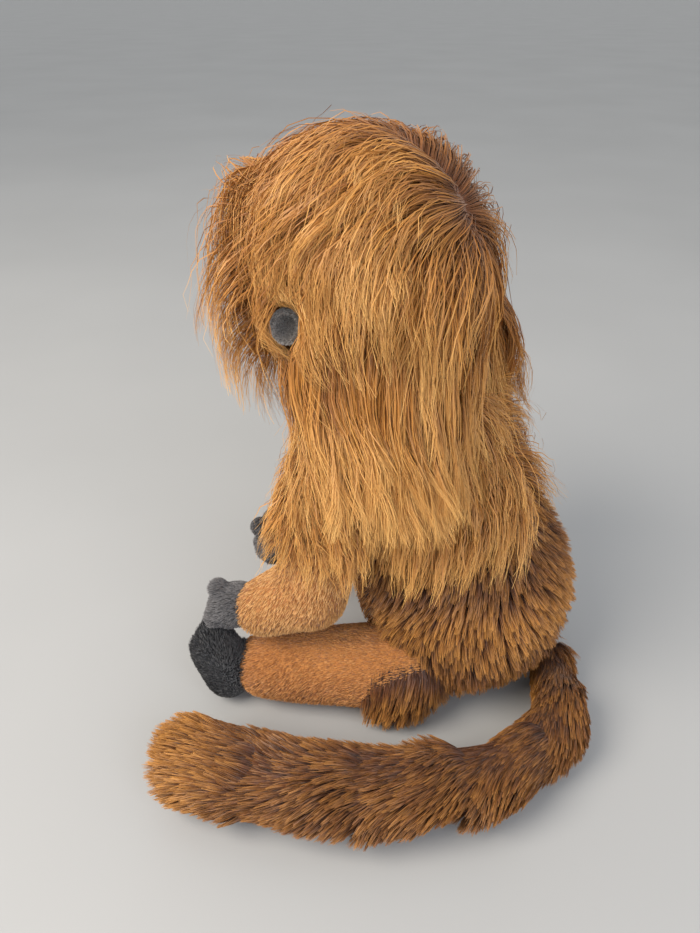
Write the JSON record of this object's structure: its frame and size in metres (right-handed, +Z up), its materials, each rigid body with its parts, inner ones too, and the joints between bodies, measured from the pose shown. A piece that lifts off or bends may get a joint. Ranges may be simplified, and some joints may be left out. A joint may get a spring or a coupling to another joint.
{
  "type": "seated long-maned toy monkey",
  "caption": "Stuffed toy monkey sitting with its tail curled round its side, with a long golden mane and bendable head, limbs and tail.",
  "frame": {"origin": "on the table, at the middle of the round seat panel under the torso", "axes": "+Z up; the toy faces -Y; its left side is +X"},
  "size_m": [0.2554, 0.2188, 0.289],
  "materials": {
    "shaggy_pile": "shaggy tipped pile, brown with golden tips",
    "belly_pile": "short tan pile",
    "seat_pile": "short dark brown pile",
    "mane_pile": "long wavy golden pile",
    "limb_pile": "short tan pile",
    "hand_pile": "short grey pile",
    "foot_pile": "short charcoal pile",
    "face_pile": "short grey pile",
    "ear_pile": "short light grey pile",
    "fibre_fill": "loose polyester fibre",
    "pellet_cloth": "plain woven cotton",
    "pellet_fill": "loose plastic pellets",
    "thread": "twisted polyester thread",
    "eye_plastic": "glossy moulded dark brown",
    "nose_plastic": "satin moulded black",
    "washer_plastic": "moulded white"
  },
  "bodies": {
    "torso": {"back_panel_left": "shaggy_pile", "back_panel_right": "shaggy_pile", "belly_panel": "belly_pile", "seat_panel": "seat_pile", "torso_stuffing": "fibre_fill", "pellet_bag": "pellet_cloth", "pellets": "pellet_fill", "shoulder_mane": "mane_pile"},
    "neck": {"neck_stuffing": "fibre_fill", "neck_thread": "thread"},
    "head": {"mane_panel_left": "mane_pile", "mane_panel_right": "mane_pile", "face_ruff": "mane_pile", "face_panel": "face_pile", "muzzle_panel": "face_pile", "muzzle_stuffing": "fibre_fill", "head_stuffing": "fibre_fill", "nose": "nose_plastic", "eye_left": "eye_plastic", "eye_right": "eye_plastic", "safety_washers": "washer_plastic", "ear_left_front": "ear_pile", "ear_left_back": "ear_pile", "ear_right_front": "ear_pile", "ear_right_back": "ear_pile"},
    "arm_left": {"arm_left_outer": "limb_pile", "arm_left_inner": "limb_pile", "arm_left_stuffing": "fibre_fill"},
    "arm_right": {"arm_right_outer": "limb_pile", "arm_right_inner": "limb_pile", "arm_right_stuffing": "fibre_fill"},
    "hand_left": {"hand_left_back": "hand_pile", "hand_left_palm": "hand_pile", "hand_left_stuffing": "fibre_fill"},
    "hand_right": {"hand_right_back": "hand_pile", "hand_right_palm": "hand_pile", "hand_right_stuffing": "fibre_fill"},
    "leg_left": {"leg_left_outer": "limb_pile", "leg_left_inner": "limb_pile", "leg_left_stuffing": "fibre_fill"},
    "leg_right": {"leg_right_outer": "limb_pile", "leg_right_inner": "limb_pile", "leg_right_stuffing": "fibre_fill"},
    "foot_left": {"foot_left_upper": "foot_pile", "foot_left_sole": "foot_pile", "foot_left_stuffing": "fibre_fill"},
    "foot_right": {"foot_right_upper": "foot_pile", "foot_right_sole": "foot_pile", "foot_right_stuffing": "fibre_fill"},
    "tail_1": {"tail_skin_1": "shaggy_pile", "tail_stuffing_1": "fibre_fill"},
    "tail_2": {"tail_skin_2": "shaggy_pile", "tail_stuffing_2": "fibre_fill"},
    "tail_3": {"tail_skin_3": "shaggy_pile", "tail_stuffing_3": "fibre_fill"},
    "tail_4": {"tail_skin_4": "shaggy_pile", "tail_stuffing_4": "fibre_fill"},
    "tail_5": {"tail_skin_5": "shaggy_pile", "tail_stuffing_5": "fibre_fill"}
  },
  "joints": [
    {"name": "neck_nod", "type": "hinge", "parent": "torso", "child": "neck", "pos_m": [0, -0.0373, 0.1789], "axis": [1, 0, 0], "range_deg": [-10, 12], "stiffness_Nm_per_rad": 1.6},
    {"name": "head_turn", "type": "hinge", "parent": "neck", "child": "head", "pos_m": [0, -0.0373, 0.1789], "axis": [0, -0.2326, 0.9726], "range_deg": [-30, 30], "stiffness_Nm_per_rad": 0.3},
    {"name": "shoulder_left", "type": "hinge", "parent": "torso", "child": "arm_left", "pos_m": [0.05, -0.048, 0.146], "axis": [-1, 0, 0], "range_deg": [0, 30]},
    {"name": "shoulder_right", "type": "hinge", "parent": "torso", "child": "arm_right", "pos_m": [-0.05, -0.048, 0.146], "axis": [-1, 0, 0], "range_deg": [0, 26]},
    {"name": "wrist_left", "type": "hinge", "parent": "arm_left", "child": "hand_left", "pos_m": [0.06893, -0.0968, 0.06014], "axis": [-1, 0, 0], "range_deg": [0, 15]},
    {"name": "wrist_right", "type": "hinge", "parent": "arm_right", "child": "hand_right", "pos_m": [0.0029, -0.10239, 0.0643], "axis": [-1, 0, 0], "range_deg": [0, 15]},
    {"name": "hip_left", "type": "hinge", "parent": "torso", "child": "leg_left", "pos_m": [0.05, -0.012, 0.0255], "axis": [0, 0, 1], "range_deg": [-3, 8], "stiffness_Nm_per_rad": 0.2},
    {"name": "hip_right", "type": "hinge", "parent": "torso", "child": "leg_right", "pos_m": [-0.05, -0.012, 0.0255], "axis": [0, 0, -1], "range_deg": [-3, 8], "stiffness_Nm_per_rad": 0.2},
    {"name": "ankle_left", "type": "hinge", "parent": "leg_left", "child": "foot_left", "pos_m": [0.07402, -0.09541, 0.0204], "axis": [0, 0, 1], "range_deg": [-8, 8], "stiffness_Nm_per_rad": 0.05},
    {"name": "ankle_right", "type": "hinge", "parent": "leg_right", "child": "foot_right", "pos_m": [-0.07402, -0.09541, 0.0204], "axis": [0, 0, -1], "range_deg": [-8, 8], "stiffness_Nm_per_rad": 0.05},
    {"name": "tail_root", "type": "hinge", "parent": "torso", "child": "tail_1", "pos_m": [0.006, 0.062, 0.0158], "axis": [0, 0, 1], "range_deg": [-2, 12], "stiffness_Nm_per_rad": 0.3},
    {"name": "tail_curl", "type": "hinge", "parent": "tail_1", "child": "tail_2", "pos_m": [0.046, 0.074, 0.0177], "axis": [0, 0, 1], "range_deg": [-1, 8], "stiffness_Nm_per_rad": 0.2},
    {"name": "tail_bend_2", "type": "hinge", "parent": "tail_2", "child": "tail_3", "pos_m": [0.086, 0.056, 0.0196], "axis": [0, 0, 1], "range_deg": [-1, 8]},
    {"name": "tail_bend_3", "type": "hinge", "parent": "tail_3", "child": "tail_4", "pos_m": [0.115, 0.016, 0.0215], "axis": [0, 0, 1], "range_deg": [-1, 8]},
    {"name": "tail_bend_4", "type": "hinge", "parent": "tail_4", "child": "tail_5", "pos_m": [0.131, -0.03, 0.0234], "axis": [0, 0, 1], "range_deg": [-1, 8]}
  ],
  "couplings": [
    {"joint": "tail_bend_2", "follows": "tail_curl", "ratio": 1},
    {"joint": "tail_bend_3", "follows": "tail_curl", "ratio": 1},
    {"joint": "tail_bend_4", "follows": "tail_curl", "ratio": 1}
  ]
}
